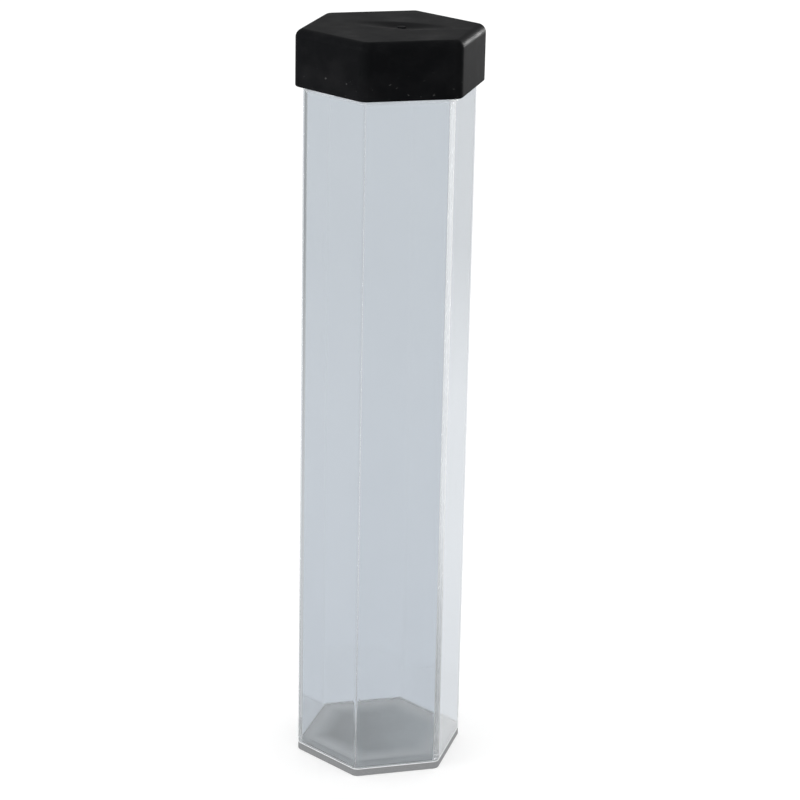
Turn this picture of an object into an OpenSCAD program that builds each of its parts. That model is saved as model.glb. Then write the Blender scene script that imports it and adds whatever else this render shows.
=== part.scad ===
// Hexagonal rock tumbler barrel: a clear tube closed below by a clear plug and a
// rubber pad, and above by a push-on rubber cap that holds a sealing disc.
// Millimetres, +Z up, origin at the centre of the base. Corners lie on the X axis.

/* [Barrel] */
// Height of the closed barrel, from the pad to the top of the cap
overall_height = 381; // [250:1:450]
// Width of the tube across its flats, outside
tube_width = 76.2; // [60:0.1:90]
// Thickness of the tube's wall
tube_wall = 3.2; // [2.4:0.1:5]
// Radius of the tube's outer corners
tube_corner = 4; // [2:0.1:6]

/* [Base] */
// Thickness of the rubber pad under the tube
pad_thickness = 4.2; // [2:0.1:6]
// Thickness of the clear plug that closes the tube
plug_thickness = 3.8; // [3:0.1:8]

/* [Cap] */
// Height of the cap
cap_height = 28; // [20:1:40]
// Thickness of the cap's skirt between its ribs
skirt_wall = 2.7; // [1.5:0.05:4]
// Thickness of the cap's top wall
cap_top_wall = 4; // [3:0.1:6]
// Radius of the cap's outer corners
cap_corner = 6; // [3:0.1:8]
// Chamfer around the cap's top face
top_chamfer = 1.2; // [0.5:0.1:2]
// Chamfer that leads the tube into the cap
mouth_chamfer = 1; // [0.4:0.1:1.4]
// Length of the shallow oval dimple in the cap's top
dimple_length = 46; // [24:1:50]
// Width of the dimple
dimple_width = 18; // [10:0.5:20]
// Depth of the dimple at its middle
dimple_depth = 1.5; // [1:0.1:2]
// Distance of the dimple's middle from the cap's centre, towards a corner
dimple_offset = 5; // [0:0.5:6]
// Direction of the dimple's long axis
dimple_turn = -27; // [-90:1:90]
// Diameter of the moulding nub in the middle of the dimple
nub_diameter = 4.2; // [2:0.1:5]
// Height of the nub above the floor of the dimple
nub_height = 1; // [0.4:0.1:1]

/* [Seal] */
// Thickness of the sealing disc
seal_thickness = 2.5; // [1.5:0.1:4]
// Number of sealing ribs inside the skirt
rib_count = 3; // [1:1:4]
// Height of each rib above the skirt's wall
rib_height = 0.6; // [0.4:0.1:1]
// Width of each rib along the tube
rib_width = 1.4; // [1:0.1:2]
// Clearance between the ribs and the tube on each side
rib_clearance = 0.3; // [0.2:0.05:0.5]

/* [Hidden] */

$fn = 64;
corner_steps = 4;
cut = 1;

tube_bore = tube_width - 2 * tube_wall;
bore_corner = max(tube_corner - tube_wall, 0.4);
rib_bore = tube_width + 2 * rib_clearance;
socket_width = rib_bore + 2 * rib_height;
cap_width = socket_width + 2 * skirt_wall;
seal_width = socket_width - 0.4;

cap_bottom = overall_height - cap_height;
socket_top = overall_height - cap_top_wall;
tube_top = socket_top - seal_thickness;
tube_length = tube_top - pad_thickness;
rib_pitch = (tube_top - cap_bottom) / (rib_count + 0.5);
rib_root = 0.5;
socket_corner = tube_corner + rib_clearance;
dimple_steps = 3;
oval_sides = 48;

// Outline of a hexagon with flats facing +Y and -Y, its corners rounded to radius r
function hexagon(width, r) = [
    for (side = [0:5])
        for (step = [0:corner_steps])
            let (
                reach = (width / 2 - r) / cos(30),
                turn = 60 * side - 30 + 60 * step / corner_steps
            )
            [reach * cos(60 * side) + r * cos(turn), reach * sin(60 * side) + r * sin(turn)]
];

// Outline of an ellipse
function oval(length, width) = [
    for (side = [0:oval_sides - 1])
        let (turn = 360 * side / oval_sides)
        [length / 2 * cos(turn), width / 2 * sin(turn)]
];

// Straight hexagonal bar
module hex_bar(width, r, height) {
    linear_extrude(height = height)
        polygon(hexagon(width, r));
}

// Hexagonal frustum, sharp-cornered, from one width across flats to another
module hex_frustum(width_low, width_high, height) {
    reach = max(width_low, width_high);
    profile = [
        [-width_low / 2, 0],
        [width_low / 2, 0],
        [width_high / 2, height],
        [-width_high / 2, height]
    ];
    intersection_for (turn = [30, 90, 150])
        rotate([0, 0, turn])
            rotate([90, 0, 0])
                linear_extrude(height = 2 * reach, center = true)
                    polygon(profile);
}

// Hexagonal ring between two widths across flats
module hex_ring(outer_width, inner_width, r, height) {
    difference() {
        hex_bar(outer_width, r, height);
        translate([0, 0, -cut])
            hex_bar(inner_width, r, height + 2 * cut);
    }
}

// Clear extruded tube, sawn square at both ends
module barrel_tube() {
    color([0.78, 0.82, 0.85, 0.35])
        translate([0, 0, pad_thickness])
            difference() {
                hex_bar(tube_width, tube_corner, tube_length);
                translate([0, 0, -cut])
                    hex_bar(tube_bore, bore_corner, tube_length + 2 * cut);
            }
}

// Clear plug cemented into the lower end of the tube
module end_plug() {
    color([0.72, 0.78, 0.81, 0.5])
        translate([0, 0, pad_thickness])
            hex_bar(tube_bore, bore_corner, plug_thickness);
}

// Grey rubber pad under the tube and the plug, which the barrel stands on
module base_pad() {
    color([0.5, 0.54, 0.56])
        hex_bar(tube_width, tube_corner, pad_thickness);
}

// Outside of the cap: a hexagon with rounded corners and a chamfered top edge
module cap_outside() {
    intersection() {
        hex_bar(cap_width, cap_corner, cap_height);
        union() {
            hex_bar(cap_width + cut, cap_corner, cap_height - top_chamfer);
            translate([0, 0, cap_height - top_chamfer])
                hex_frustum(cap_width, cap_width - 2 * top_chamfer, top_chamfer);
        }
    }
}

// Hexagonal socket with a chamfered mouth
module cap_socket() {
    translate([0, 0, -cut])
        hex_bar(socket_width, socket_corner, socket_top - cap_bottom + cut);
    hex_frustum(socket_width + 2 * mouth_chamfer, socket_width, mouth_chamfer);
}

// Shallow oval dimple in steps, with the moulding nub left standing in its middle
module cap_dimple() {
    translate([dimple_offset, 0, cap_height])
        rotate([0, 0, dimple_turn])
            difference() {
                for (step = [1:dimple_steps])
                    let (depth = dimple_depth * step / dimple_steps)
                    let (share = sqrt(1 - (step - 1) / dimple_steps))
                    translate([0, 0, -depth])
                        linear_extrude(height = depth + cut)
                            polygon(oval(dimple_length * share, dimple_width * share));
                translate([0, 0, -dimple_depth])
                    cylinder(d = nub_diameter, h = nub_height);
            }
}

// Black moulded rubber cap: skirt, top wall and the sealing ribs inside it
module end_cap() {
    color([0.1, 0.1, 0.11])
        translate([0, 0, cap_bottom]) {
            difference() {
                cap_outside();
                cap_socket();
                cap_dimple();
            }
            for (rib = [1:rib_count])
                translate([0, 0, rib * rib_pitch - rib_width / 2])
                    hex_ring(socket_width + 2 * rib_root, rib_bore, socket_corner, rib_width);
        }
}

// Flat rubber disc inside the cap, which seats on the tube's rim
module cap_seal() {
    color([0.22, 0.22, 0.23])
        translate([0, 0, tube_top])
            hex_bar(seal_width, socket_corner, seal_thickness);
}

barrel_tube();
end_plug();
base_pad();
end_cap();
cap_seal();
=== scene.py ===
"""A clear hexagonal rock tumbler barrel with a black push-on rubber cap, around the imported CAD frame."""

import math

import bmesh
import bpy
from mathutils import Matrix, Vector


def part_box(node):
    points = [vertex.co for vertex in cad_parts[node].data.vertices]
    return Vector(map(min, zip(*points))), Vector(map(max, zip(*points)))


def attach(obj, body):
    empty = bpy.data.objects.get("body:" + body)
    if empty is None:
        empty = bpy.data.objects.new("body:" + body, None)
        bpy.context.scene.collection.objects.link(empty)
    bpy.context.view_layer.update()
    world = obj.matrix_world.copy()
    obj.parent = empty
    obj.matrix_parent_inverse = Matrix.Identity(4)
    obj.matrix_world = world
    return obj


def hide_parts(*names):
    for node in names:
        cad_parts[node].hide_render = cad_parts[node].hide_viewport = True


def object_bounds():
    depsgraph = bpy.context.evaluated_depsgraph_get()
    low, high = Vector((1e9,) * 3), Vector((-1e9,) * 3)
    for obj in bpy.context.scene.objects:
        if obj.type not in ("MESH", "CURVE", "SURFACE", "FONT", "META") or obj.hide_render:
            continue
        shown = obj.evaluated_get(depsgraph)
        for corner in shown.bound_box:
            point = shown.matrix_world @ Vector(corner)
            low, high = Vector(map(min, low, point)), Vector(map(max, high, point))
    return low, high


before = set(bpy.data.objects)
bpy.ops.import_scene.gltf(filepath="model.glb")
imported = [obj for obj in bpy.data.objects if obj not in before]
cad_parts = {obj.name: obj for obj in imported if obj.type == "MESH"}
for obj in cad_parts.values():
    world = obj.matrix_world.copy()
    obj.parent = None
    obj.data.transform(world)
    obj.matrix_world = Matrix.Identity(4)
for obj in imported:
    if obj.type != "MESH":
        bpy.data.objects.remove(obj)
cad_low, cad_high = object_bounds()

MM = 0.001
HALF_CORNER = math.radians(30)

# ---------------------------------------------------------------- sizes, from the frame
tube_low, tube_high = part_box("barrel_tube")
plug_low, plug_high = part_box("end_plug")
pad_low, pad_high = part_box("base_pad")
cap_low, cap_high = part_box("end_cap")
seal_low, seal_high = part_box("cap_seal")


def across_flats(low, high):
    """Width of a hexagonal node across its flats, which face +Y and -Y."""
    return high.y - low.y


tube_width = across_flats(tube_low, tube_high)
bore_width = across_flats(plug_low, plug_high)
cap_width = across_flats(cap_low, cap_high)
seal_width = across_flats(seal_low, seal_high)
SEAL_SLACK = 0.4 * MM
RIB_SLACK = 0.6 * MM
socket_width = seal_width + SEAL_SLACK
rib_bore = tube_width + RIB_SLACK

TUBE_CORNER = 4 * MM
BORE_CORNER = 0.8 * MM
SOCKET_CORNER = TUBE_CORNER + 0.3 * MM
CAP_CORNER = 6 * MM
SAWN_EDGE = 0.25 * MM
GLUE_GAP = 0.06 * MM
GLUE_BITE = 0.03 * MM
RIB_COUNT = 3
RIB_WIDTH = 1.4 * MM

CORNER_STEPS = 10
FLAT_STEPS = 12
RIB_STEPS = 6
TOP_STEPS = 6
DIMPLE_STEPS = 10


# ---------------------------------------------------------------- mesh helpers
def hexagon(width, corner, z):
    """Points of a hexagon with rounded corners on the X axis and flats facing +Y and -Y, at height z."""
    corner = max(corner, 0.05 * MM)
    reach = (width / 2 - corner) / math.cos(HALF_CORNER)
    points = []
    for side in range(6):
        middle = math.radians(60 * side)
        centre = Vector((math.cos(middle), math.sin(middle), 0)) * reach
        for step in range(CORNER_STEPS + 1):
            turn = middle - HALF_CORNER + 2 * HALF_CORNER * step / CORNER_STEPS
            points.append(centre + Vector((math.cos(turn), math.sin(turn), 0)) * corner + Vector((0, 0, z)))
        start = points[-1]
        middle_next = math.radians(60 * (side + 1))
        next_centre = Vector((math.cos(middle_next), math.sin(middle_next), 0)) * reach
        turn = middle + HALF_CORNER
        end = next_centre + Vector((math.cos(turn), math.sin(turn), 0)) * corner + Vector((0, 0, z))
        for step in range(1, FLAT_STEPS):
            points.append(start.lerp(end, step / FLAT_STEPS))
    return points


def oval_like(outline, middle, turn, length, width, z):
    """An oval whose points lie in the same directions from its middle as those of an outline."""
    points = []
    for p in outline:
        bearing = math.atan2(p.y - middle.y, p.x - middle.x)
        along, across = math.cos(bearing - turn) * 2 / length, math.sin(bearing - turn) * 2 / width
        reach = 1 / math.hypot(along, across)
        x = middle.x + math.cos(bearing) * reach
        y = middle.y + math.sin(bearing) * reach
        points.append(Vector((x, y, z)))
    return points


def loft(name, rings, closed=False, cap_start=False, cap_end=False):
    """A mesh through rings with equal numbers of points, closed round on itself or ended by flat fans."""
    bm = bmesh.new()
    rows = [[bm.verts.new(p) for p in ring] for ring in rings]
    count = len(rows[0])
    pairs = list(zip(rows, rows[1:]))
    if closed:
        pairs.append((rows[-1], rows[0]))
    for low, high in pairs:
        for i in range(count):
            j = (i + 1) % count
            bm.faces.new((low[i], low[j], high[j], high[i]))
    for wanted, row in ((cap_start, rows[0]), (cap_end, rows[-1])):
        if wanted:
            middle = bm.verts.new(sum((v.co for v in row), Vector()) / count)
            for i in range(count):
                bm.faces.new((row[i], row[(i + 1) % count], middle))
    bmesh.ops.recalc_face_normals(bm, faces=bm.faces)
    mesh = bpy.data.meshes.new(name)
    bm.to_mesh(mesh)
    bm.free()
    for polygon in mesh.polygons:
        polygon.use_smooth = True
    piece = bpy.data.objects.new(name, mesh)
    bpy.context.scene.collection.objects.link(piece)
    weighted = piece.modifiers.new("flat_faces_stay_flat", "WEIGHTED_NORMAL")
    weighted.weight = 100
    weighted.keep_sharp = True
    return piece


def rounded_edge(width, corner, z, radius, from_side, steps=5):
    """Rings round the edge of a hexagonal bar at height z.

    from_side 1 ends a bar upwards, -1 starts it from below.
    """
    rings = []
    for step in range(steps + 1):
        turn = math.radians(90) * step / steps
        inset = radius * (1 - math.cos(turn))
        rise = radius * math.sin(turn)
        rings.append(hexagon(width - 2 * inset, corner - inset, z + from_side * (rise - radius)))
    return rings if from_side > 0 else rings[::-1]


# ---------------------------------------------------------------- material helpers
class Nodes:
    """A short way to write a node material: add() makes a node, link() joins sockets."""

    def __init__(self, name):
        self.material = bpy.data.materials.new(name)
        self.material.use_nodes = True
        self.tree = self.material.node_tree
        self.shader = self.tree.nodes["Principled BSDF"]
        self.place = self.add("ShaderNodeTexCoord").outputs["Object"]

    def add(self, kind, **settings):
        node = self.tree.nodes.new(kind)
        for key, value in settings.items():
            setattr(node, key, value)
        return node

    def link(self, source, target):
        self.tree.links.new(source, target)

    def scaled(self, scale, turn=(0, 0, 0)):
        node = self.add("ShaderNodeMapping")
        node.inputs["Scale"].default_value = scale
        node.inputs["Rotation"].default_value = turn
        self.link(self.place, node.inputs["Vector"])
        return node.outputs["Vector"]

    def noise(self, scale, detail=3.0, roughness=0.55, stretch=(1, 1, 1), turn=(0, 0, 0)):
        node = self.add("ShaderNodeTexNoise")
        node.inputs["Scale"].default_value = scale
        node.inputs["Detail"].default_value = detail
        node.inputs["Roughness"].default_value = roughness
        self.link(self.scaled(stretch, turn), node.inputs["Vector"])
        return node.outputs["Fac"]

    def height(self):
        node = self.add("ShaderNodeSeparateXYZ")
        self.link(self.place, node.inputs["Vector"])
        return node.outputs["Z"]

    def band(self, low, high, soft):
        """1 between two heights and 0 outside them."""
        rise = self.remap(self.height(), low - soft, low)
        fall = self.remap(self.height(), high, high + soft, 1.0, 0.0)
        return self.maths("MULTIPLY", rise, fall)

    def remap(self, value, low, high, to_low=0.0, to_high=1.0):
        node = self.add("ShaderNodeMapRange")
        node.inputs["From Min"].default_value = low
        node.inputs["From Max"].default_value = high
        node.inputs["To Min"].default_value = to_low
        node.inputs["To Max"].default_value = to_high
        self.link(value, node.inputs["Value"])
        return node.outputs["Result"]

    def from_middle(self):
        """Half the width across flats of the hexagon around the middle that a point lies on."""
        across = [self.maths("ABSOLUTE", self.towards(bearing), 0) for bearing in (30, 90, 150)]
        return self.maths("MAXIMUM", self.maths("MAXIMUM", across[0], across[1]), across[2])

    def towards(self, bearing):
        """Distance from the origin along a level bearing."""
        node = self.add("ShaderNodeVectorMath", operation="DOT_PRODUCT")
        self.link(self.place, node.inputs[0])
        node.inputs[1].default_value = (math.cos(math.radians(bearing)), math.sin(math.radians(bearing)), 0)
        return node.outputs["Value"]

    def tinted(self, colour, share):
        """A colour made lighter or darker by a share."""
        node = self.add("ShaderNodeVectorMath", operation="SCALE")
        self.link(colour, node.inputs[0])
        node.inputs["Scale"].default_value = share
        return node.outputs["Vector"]

    def away(self):
        """Distance from the origin."""
        node = self.add("ShaderNodeVectorMath", operation="LENGTH")
        self.link(self.place, node.inputs[0])
        return node.outputs["Value"]

    def maths(self, operation, a, b):
        node = self.add("ShaderNodeMath", operation=operation)
        for socket, value in zip(node.inputs, (a, b)):
            if isinstance(value, (int, float)):
                socket.default_value = value
            else:
                self.link(value, socket)
        return node.outputs["Value"]

    def mix(self, share, a, b):
        node = self.add("ShaderNodeMix", data_type="RGBA")
        if isinstance(share, (int, float)):
            node.inputs["Factor"].default_value = share
        else:
            self.link(share, node.inputs["Factor"])
        for socket, value in ((node.inputs["A"], a), (node.inputs["B"], b)):
            if isinstance(value, tuple):
                socket.default_value = (*value, 1)
            else:
                self.link(value, socket)
        return node.outputs["Result"]

    def bump(self, height, strength, distance):
        node = self.add("ShaderNodeBump")
        node.inputs["Strength"].default_value = strength
        node.inputs["Distance"].default_value = distance
        self.link(height, node.inputs["Height"])
        self.link(node.outputs["Normal"], self.shader.inputs["Normal"])

    def set(self, **values):
        for key, value in values.items():
            self.shader.inputs[key.replace("_", " ")].default_value = value


class WorldNodes(Nodes):
    """The same for the world's nodes, where the place is a direction of length 1."""

    def __init__(self, world):
        self.tree = world.node_tree
        self.shader = self.tree.nodes["Background"]
        self.place = self.add("ShaderNodeTexCoord").outputs["Generated"]


def clear_tube_material():
    m = Nodes("clear_tube")
    m.set(Transmission_Weight=1.0, IOR=1.49)
    draw_lines = m.noise(900, 2.0, 0.5, stretch=(1, 1, 0.01))
    smudge = m.noise(30, 4.0)
    # The tint is painted darker towards the bottom and lighter towards the top: painted shade.
    shaded_low_tint = m.mix(m.remap(smudge, 0.35, 0.65), (0.895, 0.915, 0.935), (0.91, 0.93, 0.95))
    lit_high_tint = m.mix(m.remap(smudge, 0.35, 0.65), (0.93, 0.945, 0.955), (0.94, 0.955, 0.965))
    colour = m.mix(m.remap(m.height(), 0.06, 0.30), shaded_low_tint, lit_high_tint)
    # Just below the cap the surface is roughened like a rub mark, and the tint there is painted white: a
    # painted highlight.
    ring = m.band(cap_low.z - 1.9 * MM, cap_low.z + 2 * MM, 0.4 * MM)
    rub_and_painted_glare = m.maths("MULTIPLY", ring, m.remap(m.noise(90, 3.0), 0.3, 0.6, 0.5, 1.0))
    colour = m.mix(rub_and_painted_glare, colour, (1.0, 1.0, 1.0))
    m.link(colour, m.shader.inputs["Base Color"])
    haze = m.maths("ADD", m.remap(smudge, 0.3, 0.7, 0.03, 0.08), m.maths("MULTIPLY", rub_and_painted_glare, 0.5))
    m.link(haze, m.shader.inputs["Roughness"])
    m.bump(draw_lines, 0.12, 0.02 * MM)
    return m.material


def clear_plug_material():
    m = Nodes("clear_plug")
    m.set(Transmission_Weight=1.0, IOR=1.49)
    smudge = m.noise(45, 4.0)
    colour = m.mix(m.remap(smudge, 0.35, 0.65), (0.80, 0.83, 0.845), (0.83, 0.86, 0.87))
    # Towards its edge the plug's tint is painted white: painted light along the band at the base.
    colour = m.mix(m.remap(m.from_middle(), 0.023, 0.031), colour, (1.0, 1.0, 1.0))
    m.link(colour, m.shader.inputs["Base Color"])
    m.link(m.remap(smudge, 0.3, 0.7, 0.04, 0.10), m.shader.inputs["Roughness"])
    return m.material


def grey_pad_material():
    m = Nodes("grey_pad")
    m.set(Roughness=0.85)
    grain = m.noise(1500, 4.0)
    blotch = m.noise(55, 4.0)
    side = m.mix(m.remap(grain, 0.3, 0.7), (0.215, 0.22, 0.225), (0.27, 0.275, 0.28))
    face = m.mix(m.remap(blotch, 0.3, 0.7), (0.60, 0.63, 0.645), (0.655, 0.685, 0.70))
    # Across bearing -15 degrees the face is painted darker on one side and lighter on the other: painted
    # light falling from the right.
    face = m.mix(m.remap(m.towards(-15), -0.035, 0.035), m.tinted(face, 0.64), m.tinted(face, 1.52))
    # Near its edge the face is painted almost white: painted light along the band at the base.
    face = m.mix(m.remap(m.from_middle(), 0.021, 0.030), face, (0.95, 0.975, 0.985))
    colour = m.mix(m.remap(m.height(), pad_high.z - 0.35 * MM, pad_high.z - 0.15 * MM), side, face)
    m.link(colour, m.shader.inputs["Base Color"])
    m.bump(grain, 0.4, 0.05 * MM)
    return m.material


def black_rubber_material():
    m = Nodes("black_rubber")
    m.set(Specular_IOR_Level=0.0068)
    grain = m.noise(2500, 3.0)
    dust = m.noise(60, 5.0, 0.6)
    colour = m.mix(m.remap(dust, 0.45, 0.75), (0.0034, 0.0036, 0.0040), (0.0068, 0.0069, 0.0074))
    specks = m.remap(m.noise(330, 2.0, 0.5, stretch=(1, 1, 1.6)), 0.69, 0.74)
    lint = m.maths("MULTIPLY", specks, m.band(cap_low.z + 1 * MM, cap_low.z + 9 * MM, 5 * MM))
    colour = m.mix(lint, colour, (0.035, 0.035, 0.035))
    m.link(colour, m.shader.inputs["Base Color"])
    m.link(m.remap(dust, 0.3, 0.7, 0.42, 0.55), m.shader.inputs["Roughness"])
    m.bump(grain, 0.3, 0.03 * MM)
    return m.material


def seal_material():
    m = Nodes("seal_rubber")
    m.set(Roughness=0.8)
    grain = m.noise(1800, 4.0)
    colour = m.mix(m.remap(grain, 0.3, 0.7), (0.03, 0.03, 0.032), (0.05, 0.05, 0.052))
    m.link(colour, m.shader.inputs["Base Color"])
    m.bump(grain, 0.4, 0.04 * MM)
    return m.material


# ---------------------------------------------------------------- the pieces
def make_tube():
    b = SAWN_EDGE
    low, high = tube_low.z + GLUE_GAP, tube_high.z
    rings = [
        hexagon(tube_width - 2 * b, TUBE_CORNER - b, low),
        hexagon(tube_width, TUBE_CORNER, low + b),
        hexagon(tube_width, TUBE_CORNER, high - b),
        hexagon(tube_width - 2 * b, TUBE_CORNER - b, high),
        hexagon(bore_width + 2 * b, BORE_CORNER + b, high),
        hexagon(bore_width, BORE_CORNER, high - b),
        hexagon(bore_width, BORE_CORNER, low + b),
        hexagon(bore_width + 2 * b, BORE_CORNER + b, low),
    ]
    return loft("hexagonal_tube", rings, closed=True)


def make_plug():
    width = bore_width - 2 * GLUE_GAP
    b = SAWN_EDGE
    low, high = plug_low.z + GLUE_GAP, plug_high.z
    rings = [
        hexagon(width - 2 * b, BORE_CORNER, low),
        hexagon(width, BORE_CORNER, low + b),
        hexagon(width, BORE_CORNER, high - b),
        hexagon(width - 2 * b, BORE_CORNER, high),
    ]
    return loft("clear_end_plug", rings, cap_start=True, cap_end=True)


def make_pad():
    """The pad is cemented on: its upper face reaches a hair into the clear plastic, so no air gap shows."""
    low = rounded_edge(tube_width, TUBE_CORNER, pad_low.z, 0.5 * MM, -1, 4)
    high = rounded_edge(tube_width, TUBE_CORNER, pad_high.z + GLUE_GAP + GLUE_BITE, 0.3 * MM, 1, 3)
    return loft("rubber_base_pad", low + high, cap_start=True, cap_end=True)


def make_seal():
    edge = 0.2 * MM
    low = rounded_edge(seal_width, SOCKET_CORNER, seal_low.z, edge, -1, 2)
    high = rounded_edge(seal_width, SOCKET_CORNER, seal_high.z, edge, 1, 2)
    return loft("sealing_disc", low + high, cap_start=True, cap_end=True)


def cap_top(rim):
    """Rings from the cap's top edge inwards, over the shallow oval dimple and its nub."""
    middle = Vector((5 * MM, 0, 0))
    turn = math.radians(-27)
    length, width, depth = 46 * MM, 18 * MM, 1.5 * MM
    rings = []
    oval = oval_like(rim, middle, turn, length * 1.04, width * 1.04, cap_high.z)
    for step in range(1, TOP_STEPS + 1):
        rings.append([a.lerp(c, step / TOP_STEPS) for a, c in zip(rim, oval)])
    for step in range(1, DIMPLE_STEPS + 1):
        share = 1 - 0.78 * step / DIMPLE_STEPS
        fall = 0.35 * (0.5 + 0.5 * math.cos(math.pi * share)) + 0.65 * min(1 - share, 0.92)
        rings.append(oval_like(rim, middle, turn, length * share, width * share, cap_high.z - depth * fall))
    floor = rings[-1][0].z
    nub = 2.1 * MM
    profile = ((1.03, 0.01), (1.0, 0.1), (0.99, 0.55), (0.965, 0.67), (0.93, 0.7), (0.7, 0.7), (0.3, 0.7))
    for radius, rise in profile:
        rings.append(oval_like(rim, middle, turn, 2 * nub * radius, 2 * nub * radius, floor + rise * MM))
    return rings


def make_cap():
    lip = 0.8 * MM
    shoulder = 4.2 * MM
    outside = rounded_edge(cap_width, CAP_CORNER, cap_low.z, lip, -1, 4)
    outside += rounded_edge(cap_width, CAP_CORNER, cap_high.z, shoulder, 1, 9)
    mouth = 1.0 * MM
    inside = [
        hexagon(socket_width + 2 * mouth, SOCKET_CORNER + mouth, cap_low.z),
        hexagon(socket_width, SOCKET_CORNER, cap_low.z + mouth),
    ]
    pitch = (tube_high.z - cap_low.z) / (RIB_COUNT + 0.5)
    for rib in range(1, RIB_COUNT + 1):
        middle = cap_low.z + rib * pitch
        for step in range(RIB_STEPS + 1):
            swell = math.sin(math.pi * step / RIB_STEPS) ** 0.7
            width = socket_width + (rib_bore - socket_width) * swell
            inside.append(hexagon(width, SOCKET_CORNER, middle + (step / RIB_STEPS - 0.5) * RIB_WIDTH))
    inside.append(hexagon(socket_width, SOCKET_CORNER, seal_high.z))
    rings = inside[::-1] + outside + cap_top(outside[-1])
    return loft("rubber_cap", rings, cap_start=True, cap_end=True)


def finish_piece(piece, material, body, node):
    piece.data.materials.append(material)
    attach(piece, body)
    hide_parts(node)


finish_piece(make_tube(), clear_tube_material(), "barrel", "barrel_tube")
finish_piece(make_plug(), clear_plug_material(), "barrel", "end_plug")
finish_piece(make_pad(), grey_pad_material(), "barrel", "base_pad")
finish_piece(make_cap(), black_rubber_material(), "cap", "end_cap")
finish_piece(make_seal(), seal_material(), "cap", "cap_seal")


# ---------------------------------------------------------------- floor, light and camera
FLOOR_HALF = 9.0
WORLD_LEVEL = 1.08

# The unseen floor's levels, by what a ray has done before it meets the floor, among them a painted pool of
# light, painted shade at the tube's edges and a painted shadow near the base
LIT_POOL_NEAR = (1.22, 1.22, 1.22)
LIT_POOL_MIDDLE = (1.35, 1.35, 1.35)
LIT_POOL_FAR = (1.00, 1.00, 1.00)
EDGE_SHADE_NEAR = (0.52, 0.54, 0.55)
EDGE_SHADE_FAR = (0.30, 0.32, 0.33)
BEHIND = (0.62, 0.652, 0.69)
GUIDED_SHADOW_NEAR = (0.48, 0.50, 0.51)
GUIDED_FAR = (0.86, 0.875, 0.89)
SCATTERED = (0.88, 0.88, 0.88)

# Bounces after which a ray has passed through both walls, or has run along inside one
THROUGH_BOUNCES = 3.5
GUIDED_BOUNCES = 7.5

SPOT_DISTANCE = 1.5
SPOT_ANGLE = math.radians(12)
SPOT_BLEND = 0.6
SPOT_RADIUS = 0.25
BOUNCES = 64


def make_floor():
    """The camera sees a white floor, and every other ray meets a level by its kind.

    Reflections meet white card with a painted pool of light, and what is seen through the tube is a grey
    sweep. Rays that go into the clear plastic but not through the tube meet painted shade, and rays run
    along inside a wall meet a painted shadow near the base.
    """
    mesh = bpy.data.meshes.new("floor")
    bm = bmesh.new()
    bmesh.ops.create_grid(bm, x_segments=4, y_segments=4, size=FLOOR_HALF)
    bm.to_mesh(mesh)
    bm.free()
    floor = bpy.data.objects.new("floor", mesh)
    floor.location.z = cad_low.z - 0.02 * MM
    bpy.context.scene.collection.objects.link(floor)
    m = Nodes("pale_floor")
    m.set(Roughness=0.9, Specular_IOR_Level=0.0, Emission_Strength=1.0)
    path = m.add("ShaderNodeLightPath").outputs
    seen = path["Is Camera Ray"]
    away = m.away()
    # Reflected rays meet white card with a painted pool of light, brightest from 0.3 to 0.6 m out.
    painted_pool = m.mix(m.remap(away, 0.08, 0.30), LIT_POOL_NEAR, LIT_POOL_MIDDLE)
    painted_pool = m.mix(m.remap(away, 0.60, 1.00), painted_pool, LIT_POOL_FAR)
    # Rays that go into the clear plastic but not through the tube, at its edges, meet a dark level: painted
    # shade on the tube's edges.
    rim = m.mix(m.remap(away, 0.30, 1.00), EDGE_SHADE_NEAR, EDGE_SHADE_FAR)
    through = m.maths("GREATER_THAN", path["Ray Depth"], THROUGH_BOUNCES)
    guided = m.maths("GREATER_THAN", path["Ray Depth"], GUIDED_BOUNCES)
    entered = m.maths("GREATER_THAN", path["Transmission Depth"], 0.5)
    bounced = m.mix(entered, painted_pool, rim)
    bounced = m.mix(through, bounced, BEHIND)
    # Rays run along inside a wall meet a level that is darker near the base: a painted shadow.
    glow = m.mix(m.remap(away, 0.08, 0.30), GUIDED_SHADOW_NEAR, GUIDED_FAR)
    bounced = m.mix(guided, bounced, glow)
    bounced = m.mix(path["Is Diffuse Ray"], bounced, SCATTERED)
    m.link(m.mix(seen, (0.0, 0.0, 0.0), (0.55, 0.55, 0.55)), m.shader.inputs["Base Color"])
    m.link(m.mix(seen, bounced, (0.50, 0.50, 0.50)), m.shader.inputs["Emission Color"])
    floor.data.materials.append(m.material)


def make_world():
    """White light from all round.

    Low down, what is seen through the tube is as grey as the floor, so no horizon shows.
    """
    world = bpy.data.worlds.new("studio")
    bpy.context.scene.world = world
    world.use_nodes = True
    m = WorldNodes(world)
    m.set(Strength=WORLD_LEVEL)
    path = m.add("ShaderNodeLightPath").outputs
    through = m.maths("GREATER_THAN", path["Ray Depth"], THROUGH_BOUNCES)
    guided = m.maths("GREATER_THAN", path["Ray Depth"], GUIDED_BOUNCES)
    clean = m.maths("LESS_THAN", path["Diffuse Depth"], 0.5)
    low = m.remap(m.height(), 0.20, 0.27, 1.0, 0.0)
    behind = tuple(level / WORLD_LEVEL for level in BEHIND)
    glow = tuple(level / WORLD_LEVEL for level in GUIDED_FAR)
    grey = m.mix(guided, behind, glow)
    share = m.maths("MULTIPLY", m.maths("MULTIPLY", through, clean), low)
    m.link(m.mix(share, (1.0, 1.0, 1.0), grey), m.shader.inputs["Color"])


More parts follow.
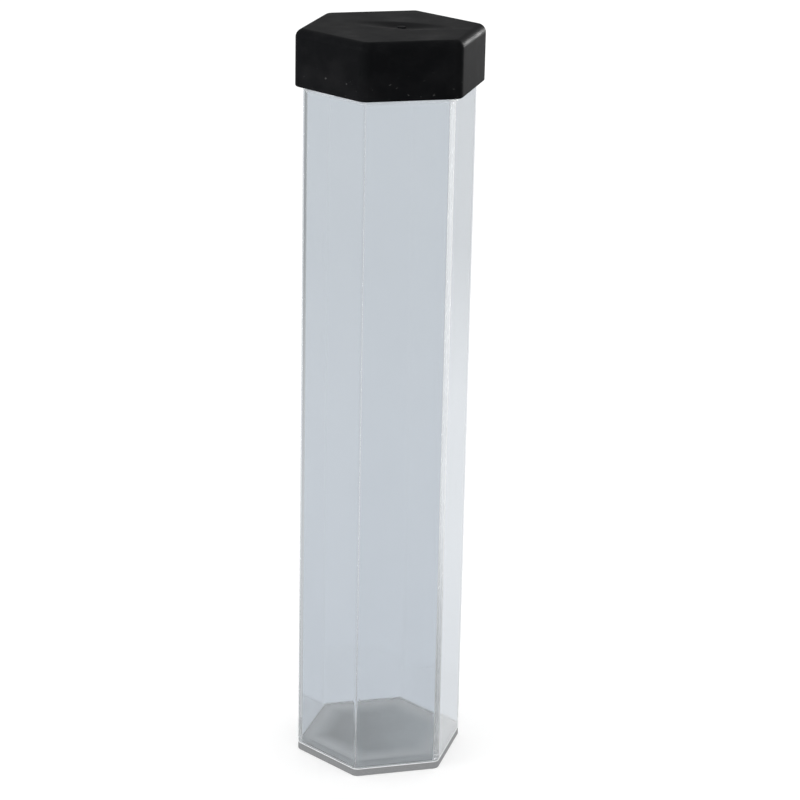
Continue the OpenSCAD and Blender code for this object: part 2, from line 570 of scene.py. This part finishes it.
def make_cap_spot(name, bearing, rise, power):
    """A soft narrow spot on the cap, whose beam passes well over the base."""
    bearing, rise = math.radians(bearing), math.radians(rise)
    aim = Vector((0, 0, (cap_low.z + cap_high.z) / 2))
    out = Vector((math.cos(bearing) * math.cos(rise), math.sin(bearing) * math.cos(rise), math.sin(rise)))
    data = bpy.data.lights.new(name, "SPOT")
    data.spot_size = SPOT_ANGLE
    data.spot_blend = SPOT_BLEND
    data.shadow_soft_size = SPOT_RADIUS
    data.energy = power
    lamp = bpy.data.objects.new(name, data)
    lamp.location = aim + out * SPOT_DISTANCE
    lamp.rotation_mode = "QUATERNION"
    lamp.rotation_quaternion = (-out).to_track_quat("-Z", "Y")
    lamp.visible_camera = False
    bpy.context.scene.collection.objects.link(lamp)


CAMERA_TURN = math.radians(-14.72)
CAMERA_RISE = math.radians(18.885)
CAMERA_ROLL = math.radians(1.163)
CAMERA_DISTANCE = 1.321
CAMERA_LENS = 117.6
AIM_RIGHT = 7.7 * MM


def make_camera():
    data = bpy.data.cameras.new("camera")
    data.lens = CAMERA_LENS
    data.sensor_width = 36
    camera = bpy.data.objects.new("camera", data)
    bpy.context.scene.collection.objects.link(camera)
    right = Vector((math.cos(CAMERA_TURN), math.sin(CAMERA_TURN), 0))
    back = Vector(
        (
            math.sin(CAMERA_TURN) * math.cos(CAMERA_RISE),
            -math.cos(CAMERA_TURN) * math.cos(CAMERA_RISE),
            math.sin(CAMERA_RISE),
        )
    )
    aim = (cad_low + cad_high) / 2 + right * AIM_RIGHT
    roll = Matrix.Rotation(CAMERA_ROLL, 3, "Z").to_quaternion()
    camera.rotation_mode = "QUATERNION"
    camera.rotation_quaternion = (-back).to_track_quat("-Z", "Y") @ roll
    camera.location = aim + back * CAMERA_DISTANCE
    bpy.context.scene.camera = camera


make_floor()
make_world()
make_cap_spot("cap_spot_left", 190, 18, 420)
make_cap_spot("cap_spot_right", 40, 3, 330)
make_camera()
bpy.context.scene.cycles.max_bounces = BOUNCES
bpy.context.scene.cycles.transmission_bounces = BOUNCES
bpy.context.scene.cycles.glossy_bounces = BOUNCES
bpy.context.scene.view_settings.view_transform = "Standard"
bpy.context.scene.cycles.use_denoising = True
